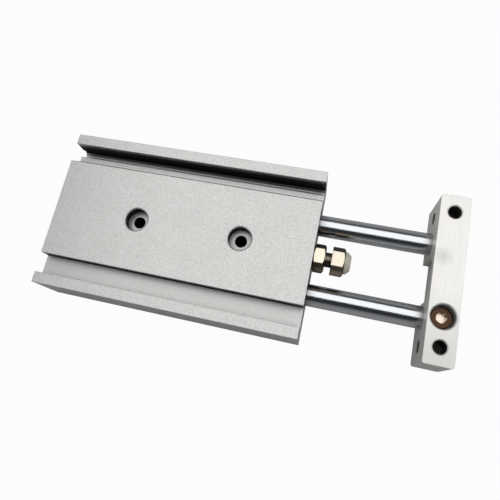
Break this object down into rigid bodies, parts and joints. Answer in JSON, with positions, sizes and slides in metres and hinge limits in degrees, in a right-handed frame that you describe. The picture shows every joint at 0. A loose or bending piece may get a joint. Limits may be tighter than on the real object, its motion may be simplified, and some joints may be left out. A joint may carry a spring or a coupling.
{
  "type": "guided pneumatic cylinder",
  "caption": "Twin-rod guided pneumatic cylinder: flat extruded body with sensor grooves, two parallel rods, end plate and adjustable stop.",
  "frame": {"origin": "on the flat base face, midway between the two fixing holes", "axes": "+X along the rods towards the end plate, +Y towards the side with the air ports, +Z out of the face with the counterbored holes"},
  "size_m": [0.1125, 0.046, 0.017],
  "materials": {
    "anodised_body": "satin clear anodised extrusion",
    "bronze": "turned bearing bronze",
    "chromed_rod": "hard chromed and ground",
    "nickel_steel": "nickel plated steel",
    "nitrile": "moulded nitrile rubber",
    "piston_aluminium": "turned",
    "plate_aluminium": "satin clear anodised, milled",
    "plug_aluminium": "turned, clear anodised",
    "screw_steel": "plated steel",
    "spring_steel": "phosphated spring steel",
    "urethane": "moulded urethane"
  },
  "bodies": {
    "barrel": {"cylinder_body": "anodised_body", "front_cushion_far": "urethane", "front_cushion_near": "urethane", "front_ring_far": "spring_steel", "front_ring_near": "spring_steel", "lock_nut": "nickel_steel", "rear_cushion_far": "urethane", "rear_cushion_near": "urethane", "rear_plug_far": "plug_aluminium", "rear_plug_near": "plug_aluminium", "rod_cover_far": "bronze", "rod_cover_near": "bronze", "rod_seal_far": "nitrile", "rod_seal_near": "nitrile"},
    "slider": {"end_plate": "plate_aluminium", "piston_far": "piston_aluminium", "piston_near": "piston_aluminium", "rod_cross_screw": "screw_steel", "rod_end_screw": "screw_steel", "rod_far": "chromed_rod", "rod_near": "chromed_rod"},
    "stop": {"stop_bolt": "nickel_steel", "stop_bumper": "urethane"}
  },
  "joints": [
    {"name": "rod_slide", "type": "slide", "parent": "barrel", "child": "slider", "axis": [1, 0, 0], "range_m": [-0.02, 0]},
    {"name": "stop_adjust", "type": "slide", "parent": "barrel", "child": "stop", "axis": [1, 0, 0], "range_m": [-0.0016, 0.0014]}
  ]
}
